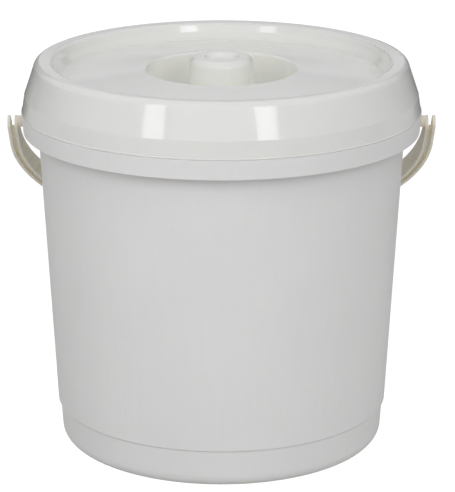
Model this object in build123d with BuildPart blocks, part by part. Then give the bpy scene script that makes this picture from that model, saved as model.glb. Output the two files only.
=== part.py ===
from build123d import *

import os
from math import cos, radians, sin, tan

# A 15 litre plastic fermenting bucket: a tapered pail with an overhanging collar, a domed
# push-on lid with a finger well round its knob, and a bail handle hinged in the collar.
# Millimetres, +Z up. The origin is the middle of the base, on the floor. The handle's
# hinge runs along X, and the handle hangs towards +Y.

# ---- driving dimensions -------------------------------------------------------------

# pail
FOOT_RADIUS = 122.8  # where the pail meets the floor
FOOT_TOP_RADIUS = 132.2
FOOT_TOP = 30.5  # height of the foot, under the small step in the wall
STEP = 1.9  # how far the wall steps out above the foot
WALL_DRAFT = 3.13  # degrees
WALL = 2.0
BASE_RECESS = 3.0  # the base panel stands this far above the floor
BASE_THICKNESS = 2.5
FOOT_RING = 6.0  # width of the ring that the pail stands on
RIM_TOP = 294.0
BEAD = 1.2  # how far the rim's bead stands out from the wall

# collar
COLLAR_BOTTOM = 257.2
COLLAR_TOP = 272.7
COLLAR_TOP_RADIUS = 159.6
COLLAR_BOTTOM_RADIUS = 158.3
COLLAR_WALL = 2.0
RIB_COUNT = 12
RIB_THICKNESS = 1.8
RIB_BOTTOM = 262.0
GATE_RADIUS = 5.0  # moulding gate in the middle of the base

# lid
LID_WALL = 1.8
SKIRT_BOTTOM = 272.85
SKIRT_RADIUS = 159.2
CREASE = (157.0, 286.8)  # radius and height of the crease above the skirt
CREST = 314.2
CREST_OUTER_RADIUS = 147.7
CREST_FALL = 0.8  # the crest falls by this much towards the recess
CREST_INNER_RADIUS = 135.2
RECESS_LEDGE = (132.8, 306.7)  # where the recess wall changes slope
PANEL_EDGE = (129.3, 300.0)
WELL_RIM = (59.8, 306.3)
WELL_FLOOR = 273.0
WELL_FLOOR_RADIUS = 57.0
KNOB_FOOT_RADIUS = 26.9
KNOB_TOP_RADIUS = 25.3
KNOB_TOP = 315.8
DISH_RADIUS = 13.8
DISH_DEPTH = 4.0
LIP_RADIUS = 0.7  # rolled lip along the skirt's lower edge
SEAL_GAP = 0.4  # between the lid's seal rib and the rim
SEAL_BOTTOM = 280.0
SEAL_WALL = 1.8

# handle
PIVOT_HEIGHT = 262.5
DROOP = 40.5  # degrees below the horizontal at which the handle rests on the wall
HALF_SPAN = 163.0  # inner face of an arm, and the radius of the loop
ARM_LENGTH = 28.0  # straight stretch of each arm, before the loop
INNER_PLATE = 2.2
OUTER_PLATE = 2.3
CHANNEL = 3.4  # between the two plates
WEB = 2.0
PLATE_ABOVE = 4.6  # the plates' reach above and below the hinge line, across the loop
PLATE_BELOW = 7.1
INNER_ABOVE = 9.0  # the inner plate widens to this reach above the hinge line
WIDENING = (2.0, 16.0)  # where the widening starts and ends, along the arm
CHANNEL_DEPTH = 3.2  # from the plates' lower edges to the web
END_REACH = 5.0  # the plates' reach past the hinge line, along the arm
WEB_START = 3.0

# hinge
PIN_RADIUS = 3.0
PIN_CLEARANCE = 0.06
BOSS_RADIUS = 4.6
BOSS_GAP = 0.5  # between the boss and the collar
PIN_HEAD_RADIUS = 3.8
PIN_HEAD = 1.8
PIN_END = 153.2  # distance of the pin's tip from the bucket's axis

# ---- worked out from these ----------------------------------------------------------

WALL_BOTTOM = FOOT_TOP + STEP


def wall_radius(height):
    """Outer radius of the pail's wall at a height above the foot."""
    return FOOT_TOP_RADIUS + STEP + (height - WALL_BOTTOM) * tan(radians(WALL_DRAFT))


def collar_radius(height):
    """Outer radius of the collar at a height."""
    share = (height - COLLAR_BOTTOM) / (COLLAR_TOP - COLLAR_BOTTOM)
    return COLLAR_BOTTOM_RADIUS + share * (COLLAR_TOP_RADIUS - COLLAR_BOTTOM_RADIUS)


def rounded(corners):
    """Closed outline through (x, y, fillet radius) corners."""
    points = [(x, y) for x, y, _ in corners]
    radii = [radius for _, _, radius in corners]
    return FilletPolyline(*points, radius=radii, close=True)


# ---- pail ---------------------------------------------------------------------------

base_top = BASE_RECESS + BASE_THICKNESS
foot_bulge = (FOOT_TOP_RADIUS - 1.7, 3.2)  # where the foot's side and underside would meet
flange_bottom = COLLAR_TOP - WALL
ring_inner = FOOT_RADIUS - FOOT_RING
rim_neck = RIM_TOP - 5.0

pail_section = [
    (0, BASE_RECESS, 0),
    (ring_inner - BASE_RECESS, BASE_RECESS, 1.0),
    (ring_inner, 0, 0.8),
    (FOOT_RADIUS, 0, 1.0),
    (*foot_bulge, 11.0),
    (FOOT_TOP_RADIUS, FOOT_TOP, 0.3),
    (FOOT_TOP_RADIUS + STEP, WALL_BOTTOM, 0.6),
    (wall_radius(flange_bottom), flange_bottom, 0.8),
    (collar_radius(flange_bottom) - COLLAR_WALL, flange_bottom, 0.8),
    (COLLAR_BOTTOM_RADIUS - COLLAR_WALL, COLLAR_BOTTOM, 0.6),
    (COLLAR_BOTTOM_RADIUS, COLLAR_BOTTOM, 0.6),
    (COLLAR_TOP_RADIUS, COLLAR_TOP, 0.3),
    (wall_radius(COLLAR_TOP), COLLAR_TOP, 0.8),
    (wall_radius(rim_neck), rim_neck, 0.4),
    (wall_radius(rim_neck) + BEAD, rim_neck + BEAD, 0.4),
    (wall_radius(RIM_TOP) + BEAD, RIM_TOP, 1.2),
    (wall_radius(RIM_TOP) - WALL, RIM_TOP, 1.2),
    (wall_radius(WALL_BOTTOM) - WALL, WALL_BOTTOM, 0.6),
    (FOOT_TOP_RADIUS - WALL, FOOT_TOP, 0.3),
    (foot_bulge[0] - WALL, base_top, 12.0),
    (0, base_top, 0),
]

with BuildPart() as bucket_body:
    with BuildSketch(Plane.XZ) as pail_profile:
        with BuildLine():
            rounded(pail_section)
        make_face()
    revolve(axis=Axis.Z)
    # Ribs between the wall and the collar, clear of the two hinge holes.
    rib_inner = wall_radius(RIB_BOTTOM) - WALL / 2
    rib_outer = collar_radius(flange_bottom) - COLLAR_WALL / 2
    with BuildSketch(Plane.XY.offset(RIB_BOTTOM)) as ribs:
        with PolarLocations((rib_inner + rib_outer) / 2, RIB_COUNT, start_angle=15):
            Rectangle(rib_outer - rib_inner, RIB_THICKNESS)
    extrude(amount=flange_bottom - RIB_BOTTOM + WALL / 2)
    # Round mark of the moulding gate, under the base.
    with BuildSketch(Plane.XY.offset(BASE_RECESS - 1.0)):
        Circle(GATE_RADIUS)
    extrude(amount=1.5)
    # The handle's pins turn in these two holes.
    for side in (-1, 1):
        hole_start = Plane((side * (PIN_END - 1), 0, PIVOT_HEIGHT), z_dir=(side, 0, 0))
        with BuildSketch(hole_start):
            Circle(PIN_RADIUS + PIN_CLEARANCE)
        extrude(amount=COLLAR_TOP_RADIUS - PIN_END + 3, mode=Mode.SUBTRACT)

# ---- lid ----------------------------------------------------------------------------

dish_floor = KNOB_TOP - DISH_DEPTH
lid_top = [
    (0, dish_floor, 0),
    (DISH_RADIUS - 2.5, dish_floor, 2.6),
    (DISH_RADIUS, KNOB_TOP, 0.8),
    (KNOB_TOP_RADIUS, KNOB_TOP, 6.0),
    (KNOB_FOOT_RADIUS, WELL_FLOOR, 2.0),
    (WELL_FLOOR_RADIUS, WELL_FLOOR, 5.0),
    (*WELL_RIM, 2.0),
    (*PANEL_EDGE, 1.5),
    (*RECESS_LEDGE, 2.0),
    (CREST_INNER_RADIUS, CREST - CREST_FALL, 2.6),
    (CREST_OUTER_RADIUS, CREST, 6.0),
    (*CREASE, 1.0),
    (SKIRT_RADIUS, SKIRT_BOTTOM, 0),
]
lid_underside = [
    (SKIRT_RADIUS - LID_WALL, SKIRT_BOTTOM, 0),
    (CREASE[0] - LID_WALL, CREASE[1] - 0.2, 1.0),
    (CREST_OUTER_RADIUS - 1.5, CREST - LID_WALL, 4.4),
    (CREST_INNER_RADIUS + 1.5, CREST - CREST_FALL - LID_WALL, 1.0),
    (RECESS_LEDGE[0] + LID_WALL, RECESS_LEDGE[1] - 0.6, 1.5),
    (PANEL_EDGE[0] + 1.1, PANEL_EDGE[1] - LID_WALL, 1.5),
    (WELL_RIM[0] + LID_WALL, WELL_RIM[1] - LID_WALL - 0.2, 1.0),
    (WELL_FLOOR_RADIUS + LID_WALL, WELL_FLOOR - LID_WALL, 5.0),
    (KNOB_FOOT_RADIUS - LID_WALL, WELL_FLOOR - LID_WALL, 2.0),
    (KNOB_TOP_RADIUS - LID_WALL, KNOB_TOP - LID_WALL - 0.6, 4.4),
    (DISH_RADIUS + 1.2, KNOB_TOP - LID_WALL - 0.6, 1.0),
    (DISH_RADIUS - 1.0, dish_floor - LID_WALL, 1.0),
    (0, dish_floor - LID_WALL, 0),
]

seal_radius = wall_radius(SEAL_BOTTOM) - WALL - SEAL_GAP
seal_section = [
    (seal_radius - SEAL_WALL, CREST - LID_WALL / 2, 0),
    (seal_radius - SEAL_WALL, SEAL_BOTTOM, 0.3),
    (seal_radius - 0.8, SEAL_BOTTOM, 0.3),
    (seal_radius, SEAL_BOTTOM + 6, 1.0),
    (seal_radius, CREST - LID_WALL / 2, 0),
]

with BuildPart() as lid:
    with BuildSketch(Plane.XZ) as lid_profile:
        with BuildLine():
            rounded(lid_top + lid_underside)
        make_face()
        with BuildLine():
            rounded(seal_section)
        make_face()
        with Locations((SKIRT_RADIUS - LIP_RADIUS / 2, SKIRT_BOTTOM + LIP_RADIUS)):
            Circle(LIP_RADIUS)
    revolve(axis=Axis.Z)

# ---- handle -------------------------------------------------------------------------

droop_cos = cos(radians(DROOP))
droop_sin = sin(radians(DROOP))
hinge_point = (0, 0, PIVOT_HEIGHT)
loop_plane = Plane(hinge_point, x_dir=(1, 0, 0), z_dir=(0, droop_sin, droop_cos))
side_plane = Plane(hinge_point, x_dir=(0, droop_cos, -droop_sin), z_dir=(1, 0, 0))

handle_thickness = INNER_PLATE + CHANNEL + OUTER_PLATE
loop_reach = ARM_LENGTH + HALF_SPAN + handle_thickness


def loop_area(growth):
    """Area inside the loop, out to a line this far outside the arms' inner face."""
    half_span = HALF_SPAN + growth
    end = -2 * END_REACH
    with BuildSketch() as area:
        with BuildLine():
            Line((half_span, end), (half_span, ARM_LENGTH))
            CenterArc((0, ARM_LENGTH), half_span, 0, 180)
            Line((-half_span, ARM_LENGTH), (-half_span, end))
            Line((-half_span, end), (half_span, end))
        make_face()
    return area.sketch


inner_plate_inside = loop_area(0)
inner_plate_outside = loop_area(INNER_PLATE)
outer_plate_inside = loop_area(INNER_PLATE + CHANNEL)
outer_plate_outside = loop_area(handle_thickness)

plate_side = [
    (-END_REACH, PLATE_ABOVE, 4.5),
    (-END_REACH, -PLATE_BELOW, 4.5),
    (2 * loop_reach, -PLATE_BELOW, 0),
    (2 * loop_reach, INNER_ABOVE, 0),
    (WIDENING[1], INNER_ABOVE, 8.0),
    (WIDENING[0], PLATE_ABOVE, 3.0),
]

with BuildPart() as bail_handle:
    # Two plates that run round the loop, the inner one wider.
    with BuildSketch(loop_plane.offset(-PLATE_BELOW)):
        add(outer_plate_outside)
        add(outer_plate_inside, mode=Mode.SUBTRACT)
    extrude(amount=PLATE_ABOVE + PLATE_BELOW)
    with BuildSketch(loop_plane.offset(-PLATE_BELOW)):
        add(inner_plate_outside)
        add(inner_plate_inside, mode=Mode.SUBTRACT)
    extrude(amount=INNER_ABOVE + PLATE_BELOW)
    # The web that joins them.
    with BuildSketch(loop_plane.offset(CHANNEL_DEPTH - PLATE_BELOW)):
        add(outer_plate_inside)
        add(inner_plate_outside, mode=Mode.SUBTRACT)
        with Locations((0, WEB_START - 2 * END_REACH)):
            Rectangle(3 * HALF_SPAN, 4 * END_REACH, mode=Mode.SUBTRACT)
    extrude(amount=WEB)
    # Rounded ends round the hinge line.
    with BuildSketch(side_plane):
        with BuildLine():
            rounded(plate_side)
        make_face()
    extrude(amount=2 * HALF_SPAN, both=True, mode=Mode.INTERSECT)
    # Boss, pin and snap head at each end.
    for side in (-1, 1):
        outward = (side, 0, 0)
        boss_start = side * (collar_radius(PIVOT_HEIGHT) + BOSS_GAP)
        with BuildSketch(Plane((boss_start, 0, PIVOT_HEIGHT), z_dir=outward)):
            Circle(BOSS_RADIUS)
        extrude(amount=HALF_SPAN + INNER_PLATE / 2 - abs(boss_start))
        with BuildSketch(Plane((side * PIN_END, 0, PIVOT_HEIGHT), z_dir=outward)):
            Circle(PIN_RADIUS)
        extrude(amount=HALF_SPAN - PIN_END)
        with BuildSketch(Plane((side * PIN_END, 0, PIVOT_HEIGHT), z_dir=outward)):
            Circle(PIN_HEAD_RADIUS)
        extrude(amount=PIN_HEAD)

# ---- files --------------------------------------------------------------------------

os.makedirs("parts", exist_ok=True)
for name, piece in (("bucket_body", bucket_body), ("lid", lid), ("bail_handle", bail_handle)):
    piece.part.label = name
    export_step(piece.part, f"parts/{name}.step")
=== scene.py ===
import math

import bpy
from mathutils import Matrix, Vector


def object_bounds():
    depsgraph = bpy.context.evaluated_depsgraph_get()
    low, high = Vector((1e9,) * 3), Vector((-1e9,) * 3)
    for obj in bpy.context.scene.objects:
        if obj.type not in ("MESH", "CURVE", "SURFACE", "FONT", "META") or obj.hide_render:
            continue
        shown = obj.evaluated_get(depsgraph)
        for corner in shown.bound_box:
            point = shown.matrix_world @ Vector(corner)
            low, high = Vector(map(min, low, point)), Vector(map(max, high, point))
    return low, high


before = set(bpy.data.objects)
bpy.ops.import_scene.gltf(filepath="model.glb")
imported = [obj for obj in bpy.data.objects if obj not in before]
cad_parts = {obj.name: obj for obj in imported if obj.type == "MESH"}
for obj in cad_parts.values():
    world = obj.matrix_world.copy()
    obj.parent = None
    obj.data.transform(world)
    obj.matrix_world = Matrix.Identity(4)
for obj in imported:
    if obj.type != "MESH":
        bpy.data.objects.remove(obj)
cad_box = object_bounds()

# A plastic fermenting bucket in a white studio: a satin pail, a glossy push-on lid and an
# ivory bail handle. Metres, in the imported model's frame: +Z up, the handle's hinge along X,
# and the camera on the -Y side.

MILLIMETRE = 0.001

# ---- camera -------------------------------------------------------------------------

CAMERA_ELEVATION = math.radians(17.1)
CAMERA_DISTANCE = 2.080
LENS = 187.4  # millimetres, on a sensor this wide
SENSOR = 36.0
SHIFT_X = 0.0122  # of the frame's longer side


def add_camera():
    """Looks at the middle of the bucket's height, from the -Y side and a little above."""
    camera_data = bpy.data.cameras.new("camera")
    camera = bpy.data.objects.new("camera", camera_data)
    bpy.context.scene.collection.objects.link(camera)
    back = CAMERA_DISTANCE * math.cos(CAMERA_ELEVATION)
    up = CAMERA_DISTANCE * math.sin(CAMERA_ELEVATION)
    camera.location = (0.0, -back, cad_box[1][2] / 2 + up)
    camera.rotation_euler = (math.pi / 2 - CAMERA_ELEVATION, 0.0, 0.0)
    camera_data.lens = LENS
    camera_data.sensor_width = SENSOR
    camera_data.shift_x = SHIFT_X
    camera_data.clip_end = 50.0
    bpy.context.scene.camera = camera


# ---- materials ----------------------------------------------------------------------

# Each plastic drifts between a dark and a pale colour, with others for marks, painted shade in
# hollows, painted light in the lid's deep hollows and rubbed edges.
PAIL_DARK = (0.80, 0.803, 0.82)
PAIL_PALE = (0.82, 0.823, 0.835)
PAIL_DRAW_MARK = (0.76, 0.76, 0.76)
# Painted shade: the darker olive colour that the pail's corners and hollows are painted with.
PAIL_PAINTED_SHADE = (0.62, 0.61, 0.54)
PAIL_RUBBED = (0.88, 0.88, 0.87)
LID_DARK = (0.825, 0.824, 0.81)
LID_PALE = (0.845, 0.844, 0.832)
# Painted light: the paler colour that the lid's deep hollows are painted with, for light through
# their thin walls.
LID_PAINTED_GLOW = (0.915, 0.915, 0.865)
# Painted shade: the darker olive colour that the lid's corners and recesses are painted with.
LID_PAINTED_SHADE = (0.64, 0.64, 0.5)
LID_RUBBED = (0.88, 0.88, 0.86)
HANDLE_DARK = (0.84, 0.77, 0.63)
HANDLE_PALE = (0.91, 0.87, 0.77)
HANDLE_CLOUD = (0.82, 0.73, 0.57)
HANDLE_RUBBED = (0.92, 0.90, 0.84)

# How far an edge turns the rounded normal, as a cosine: where rubbing begins, and where it is full.
RUB_BEGINS = 0.99
RUB_IS_FULL = 0.88
RUBBED_REACH = 1.0 * MILLIMETRE


class Nodes:
    """A material's node tree with short calls for the nodes that moulded plastic needs."""

    def __init__(self, name):
        self.material = bpy.data.materials.new(name)
        self.material.use_nodes = True
        self.tree = self.material.node_tree
        self.shader = self.tree.nodes["Principled BSDF"]

    def add(self, kind, **settings):
        """A new node of this kind, with its properties set."""
        node = self.tree.nodes.new(kind)
        for key, value in settings.items():
            setattr(node, key, value)
        return node

    def link(self, source, target):
        self.tree.links.new(source, target)

    def position(self):
        """Place on the object in metres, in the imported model's frame."""
        return self.add("ShaderNodeTexCoord").outputs["Object"]

    def stretched(self, place, scale):
        """A place multiplied by a factor on each axis, so below 1 draws the pattern out."""
        mapping = self.add("ShaderNodeMapping")
        mapping.inputs["Scale"].default_value = scale
        self.link(place, mapping.inputs["Vector"])
        return mapping.outputs["Vector"]

    def noise(self, place, size, detail=2.0, roughness=0.5):
        """Noise from 0 to 1 with features of about this size in metres."""
        texture = self.add("ShaderNodeTexNoise")
        texture.inputs["Scale"].default_value = 1.0 / size
        texture.inputs["Detail"].default_value = detail
        texture.inputs["Roughness"].default_value = roughness
        self.link(place, texture.inputs["Vector"])
        return texture.outputs["Fac"]

    def spread(self, value, low, high, into_low, into_high):
        """Maps low..high to into_low..into_high, held at the ends."""
        node = self.add("ShaderNodeMapRange")
        node.inputs["From Min"].default_value = low
        node.inputs["From Max"].default_value = high
        node.inputs["To Min"].default_value = into_low
        node.inputs["To Max"].default_value = into_high
        self.link(value, node.inputs["Value"])
        return node.outputs["Result"]

    def math(self, operation, first, second):
        """The result of one operation on two values, each a number or a socket."""
        node = self.add("ShaderNodeMath", operation=operation)
        for socket, value in zip(node.inputs, (first, second)):
            if isinstance(value, (int, float)):
                socket.default_value = value
            else:
                self.link(value, socket)
        return node.outputs["Value"]

    def mix(self, factor, first, second):
        """Colour between first and second by a factor from 0 to 1."""
        node = self.add("ShaderNodeMix", data_type="RGBA")
        self.link(factor, node.inputs["Factor"])
        for socket, colour in ((node.inputs["A"], first), (node.inputs["B"], second)):
            if isinstance(colour, tuple):
                socket.default_value = (*colour, 1.0)
            else:
                self.link(colour, socket)
        return node.outputs["Result"]

    def scratches(self, place, size, scale, start):
        """From 0 to 1 along sparse thin marks, where noise squeezed by this scale passes a start."""
        warped = self.noise(self.stretched(place, scale), size, 6.0, 0.7)
        return self.spread(warped, start, start + 0.05, 0.0, 1.0)

    def edges(self):
        """From 0 on the flat to 1 along an edge, where handling has rubbed it."""
        rounded = self.add("ShaderNodeBevel", samples=3)
        rounded.inputs["Radius"].default_value = RUBBED_REACH
        geometry = self.add("ShaderNodeNewGeometry")
        match = self.add("ShaderNodeVectorMath", operation="DOT_PRODUCT")
        self.link(rounded.outputs["Normal"], match.inputs[0])
        self.link(geometry.outputs["Normal"], match.inputs[1])
        return self.spread(match.outputs["Value"], RUB_BEGINS, RUB_IS_FULL, 0.0, 1.0)

    def hollows(self, reach):
        """From 0 in the open to 1 in corners that are closed in within this reach."""
        shade = self.add("ShaderNodeAmbientOcclusion", samples=6, only_local=True)
        shade.inputs["Distance"].default_value = reach
        return self.math("SUBTRACT", 1.0, shade.outputs["AO"])

    def translucent(self, weight, depth):
        """Lets light travel about this deep inside the plastic, warm light the furthest."""
        self.shader.inputs["Subsurface Weight"].default_value = weight
        self.shader.inputs["Subsurface Radius"].default_value = (1.0, 0.9, 0.75)
        self.shader.inputs["Subsurface Scale"].default_value = depth

    def bump(self, height, depth, normal=None):
        """Bump whose height of 1 is this depth in metres."""
        node = self.add("ShaderNodeBump")
        node.inputs["Distance"].default_value = depth
        self.link(height, node.inputs["Height"])
        if normal is not None:
            self.link(normal, node.inputs["Normal"])
        return node.outputs["Normal"]


def pail_satin():
    """Cool off-white polypropylene with a satin moulding grain and faint draw marks."""
    nodes = Nodes("pail_satin")
    place = nodes.position()
    drawn = nodes.stretched(place, (1.0, 1.0, 0.03))
    cloud = nodes.noise(place, 70 * MILLIMETRE, 3.0)
    marks = nodes.noise(drawn, 2.5 * MILLIMETRE, 3.0, 0.6)
    grain = nodes.noise(place, 0.7 * MILLIMETRE, 2.0)
    scuffs = nodes.scratches(place, 18 * MILLIMETRE, (1.0, 1.0, 6.0), 0.62)
    wear = nodes.edges()
    # Painted shade: corners and hollows closed in within 14 mm, such as under the collar, are painted
    # darker olive.
    painted_shade = nodes.hollows(14 * MILLIMETRE)
    colour = nodes.mix(nodes.spread(cloud, 0.3, 0.7, 0, 1), PAIL_DARK, PAIL_PALE)
    colour = nodes.mix(nodes.spread(marks, 0.45, 0.75, 0, 0.25), colour, PAIL_DRAW_MARK)
    colour = nodes.mix(nodes.math("MULTIPLY", painted_shade, 0.35), colour, PAIL_PAINTED_SHADE)
    colour = nodes.mix(nodes.math("MULTIPLY", wear, 0.5), colour, PAIL_RUBBED)
    nodes.link(colour, nodes.shader.inputs["Base Color"])
    rough = nodes.spread(cloud, 0.3, 0.7, 0.38, 0.45)
    rough = nodes.math("ADD", rough, nodes.spread(marks, 0.4, 0.7, 0.0, 0.05))
    rough = nodes.math("ADD", rough, nodes.math("MULTIPLY", scuffs, 0.12))
    nodes.link(rough, nodes.shader.inputs["Roughness"])
    nodes.shader.inputs["Specular IOR Level"].default_value = 0.38
    nodes.translucent(0.5, 1.5 * MILLIMETRE)
    normal = nodes.bump(cloud, 0.25 * MILLIMETRE)
    normal = nodes.bump(marks, 0.012 * MILLIMETRE, normal)
    normal = nodes.bump(grain, 0.010 * MILLIMETRE, normal)
    nodes.link(normal, nodes.shader.inputs["Normal"])
    return nodes.material


def lid_gloss():
    """Warm off-white polypropylene, polished, with a slight orange peel and hairline scratches.

    Painted light: hollows such as the finger well have a lighter colour, for the light that comes
    through their thin walls. Painted shade: tight corners have a darker olive colour.
    """
    nodes = Nodes("lid_gloss")
    place = nodes.position()
    cloud = nodes.noise(place, 55 * MILLIMETRE, 3.0)
    peel = nodes.noise(place, 7 * MILLIMETRE, 1.0)
    dull = nodes.noise(place, 24 * MILLIMETRE, 5.0, 0.6)
    hairlines = nodes.scratches(place, 22 * MILLIMETRE, (1.0, 9.0, 1.0), 0.66)
    wear = nodes.edges()
    # Painted shade: corners closed in within 8 mm, such as the recess and the finger well, are
    # painted darker olive.
    painted_shade = nodes.hollows(8 * MILLIMETRE)
    # Painted light: deep hollows within 60 mm, such as the finger well, are painted paler, for the
    # light through their thin walls.
    painted_glow = nodes.spread(nodes.hollows(60 * MILLIMETRE), 0.05, 0.5, 0.0, 1.0)
    colour = nodes.mix(nodes.spread(cloud, 0.3, 0.7, 0, 1), LID_DARK, LID_PALE)
    colour = nodes.mix(painted_glow, colour, LID_PAINTED_GLOW)
    colour = nodes.mix(nodes.math("MULTIPLY", painted_shade, 0.25), colour, LID_PAINTED_SHADE)
    colour = nodes.mix(nodes.math("MULTIPLY", wear, 0.5), colour, LID_RUBBED)
    nodes.link(colour, nodes.shader.inputs["Base Color"])
    rough = nodes.spread(dull, 0.4, 0.7, 0.06, 0.11)
    rough = nodes.math("ADD", rough, nodes.math("MULTIPLY", hairlines, 0.15))
    nodes.link(rough, nodes.shader.inputs["Roughness"])
    nodes.translucent(0.5, 2.5 * MILLIMETRE)
    normal = nodes.bump(cloud, 0.3 * MILLIMETRE)
    normal = nodes.bump(peel, 0.01 * MILLIMETRE, normal)
    nodes.link(normal, nodes.shader.inputs["Normal"])
    return nodes.material


def handle_ivory():
    """Ivory plastic that lets light through, with faint level streaks from the moulding."""
    nodes = Nodes("handle_ivory")
    place = nodes.position()
    level = nodes.stretched(place, (0.15, 0.15, 1.0))
    cloud = nodes.noise(place, 30 * MILLIMETRE, 3.0)
    streaks = nodes.noise(level, 3 * MILLIMETRE, 2.0, 0.5)
    wear = nodes.edges()
    colour = nodes.mix(nodes.spread(streaks, 0.35, 0.65, 0, 1), HANDLE_DARK, HANDLE_PALE)
    colour = nodes.mix(nodes.spread(cloud, 0.4, 0.7, 0, 0.4), colour, HANDLE_CLOUD)
    colour = nodes.mix(nodes.math("MULTIPLY", wear, 0.5), colour, HANDLE_RUBBED)
    nodes.link(colour, nodes.shader.inputs["Base Color"])
    nodes.link(nodes.spread(streaks, 0.3, 0.7, 0.5, 0.62), nodes.shader.inputs["Roughness"])
    nodes.shader.inputs["Specular IOR Level"].default_value = 0.25
    nodes.translucent(0.85, 6 * MILLIMETRE)
    normal = nodes.bump(cloud, 0.05 * MILLIMETRE)
    nodes.link(normal, nodes.shader.inputs["Normal"])
    return nodes.material


def finish(node, material):
    """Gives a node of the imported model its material."""
    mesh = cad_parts[node].data
    mesh.materials.clear()
    mesh.materials.append(material)


# ---- studio -------------------------------------------------------------------------

FLOOR_SIZE = 8.0
FLOOR_COLOUR = (0.73, 0.72, 0.69, 1.0)
FLOOR_GLOW = 1.1  # what the camera sees of the floor, in place of its colour
CARD_COLOUR = (0.05, 0.05, 0.05, 1.0)

# The sky from the horizon up to overhead: the sine of the elevation, and a grey.
SKY = ((0.0, 0.1), (0.2, 0.42), (0.42, 0.6), (0.7, 0.75), (1.0, 0.7))
SKY_STRENGTH = 0.96

# Azimuth clockwise from the camera and elevation in degrees, then distance, width and height in
# metres, and power in watts.
LIGHTS = {
    "softbox_left": (-37.0, 20.0, 0.9, 0.18, 0.46, 1.05),
    "softbox_right": (25.5, 20.0, 1.6, 0.32, 0.82, 3.7),
    "fill_front": (0.0, 28.0, 2.4, 2.4, 1.2, 5.4),
    "back": (180.0, 6.0, 2.4, 1.1, 0.7, 0.6),
}

# Azimuth in degrees, then distance, width and height in metres.
CARDS = {
    "card_left": (-149.0, 1.4, 0.88, 1.0),
    "card_right": (145.0, 1.4, 1.1, 1.0),
}


def add_floor():
    """A plain floor, white to the camera and a pale grey to the light that bounces off it."""
    bpy.ops.mesh.primitive_plane_add(size=FLOOR_SIZE, location=(0, 0, 0))
    floor = bpy.context.object
    floor.name = "floor"
    nodes = Nodes("floor_paint")
    nodes.shader.inputs["Base Color"].default_value = FLOOR_COLOUR
    nodes.shader.inputs["Roughness"].default_value = 1.0
    nodes.shader.inputs["Specular IOR Level"].default_value = 0.0
    white = nodes.add("ShaderNodeEmission")
    white.inputs["Strength"].default_value = FLOOR_GLOW
    rays = nodes.add("ShaderNodeLightPath")
    seen = nodes.add("ShaderNodeMixShader")
    nodes.link(rays.outputs["Is Camera Ray"], seen.inputs[0])
    nodes.link(nodes.shader.outputs[0], seen.inputs[1])
    nodes.link(white.outputs[0], seen.inputs[2])
    nodes.link(seen.outputs[0], nodes.tree.nodes["Material Output"].inputs["Surface"])
    floor.data.materials.append(nodes.material)


def add_light(name, azimuth, elevation, distance, width, height, power):
    """A rectangular light that faces the top of the bucket."""
    data = bpy.data.lights.new(name, "AREA")
    data.shape = "RECTANGLE"
    data.size = width
    data.size_y = height
    data.energy = power
    light = bpy.data.objects.new(name, data)
    bpy.context.scene.collection.objects.link(light)
    turn = math.radians(azimuth)
    rise = math.radians(elevation)
    out = Vector((math.sin(turn) * math.cos(rise), -math.cos(turn) * math.cos(rise), math.sin(rise)))
    target = Vector((0.0, 0.0, cad_box[1][2]))
    light.location = target + distance * out
    light.rotation_euler = (-out).to_track_quat("-Z", "Y").to_euler()


def add_card(name, azimuth, distance, width, height):
    """A black card that faces the bucket, unseen by the camera, for the glossy edges to reflect."""
    turn = math.radians(azimuth)
    place = (distance * math.sin(turn), -distance * math.cos(turn), height / 2)
    bpy.ops.mesh.primitive_plane_add(size=1.0, location=place, rotation=(math.pi / 2, 0, -turn))
    card = bpy.context.object
    card.name = name
    card.scale = (width, height, 1.0)
    card.visible_camera = False
    nodes = Nodes(name + "_black")
    nodes.shader.inputs["Base Color"].default_value = CARD_COLOUR
    nodes.shader.inputs["Roughness"].default_value = 0.9
    card.data.materials.append(nodes.material)


def add_world():
    """White studio walls, dark at the horizon and brighter overhead."""
    world = bpy.data.worlds.new("studio")
    world.use_nodes = True
    tree = world.node_tree
    place = tree.nodes.new("ShaderNodeTexCoord")
    axes = tree.nodes.new("ShaderNodeSeparateXYZ")
    ramp = tree.nodes.new("ShaderNodeValToRGB")
    tree.links.new(place.outputs["Generated"], axes.inputs["Vector"])
    tree.links.new(axes.outputs["Z"], ramp.inputs["Fac"])
    tree.links.new(ramp.outputs["Color"], tree.nodes["Background"].inputs["Color"])
    stops = ramp.color_ramp.elements
    while len(stops) < len(SKY):
        stops.new(0.5)
    for stop, (rise, grey) in zip(stops, SKY):
        stop.position = rise
        stop.color = (grey, grey, grey, 1.0)
    tree.nodes["Background"].inputs["Strength"].default_value = SKY_STRENGTH
    bpy.context.scene.world = world


add_camera()
add_floor()
add_world()
for name, values in LIGHTS.items():
    add_light(name, *values)
for name, values in CARDS.items():
    add_card(name, *values)

finish("bucket_body", pail_satin())
finish("lid", lid_gloss())
finish("bail_handle", handle_ivory())

scene = bpy.context.scene
scene.view_settings.view_transform = "Standard"
scene.view_settings.look = "None"
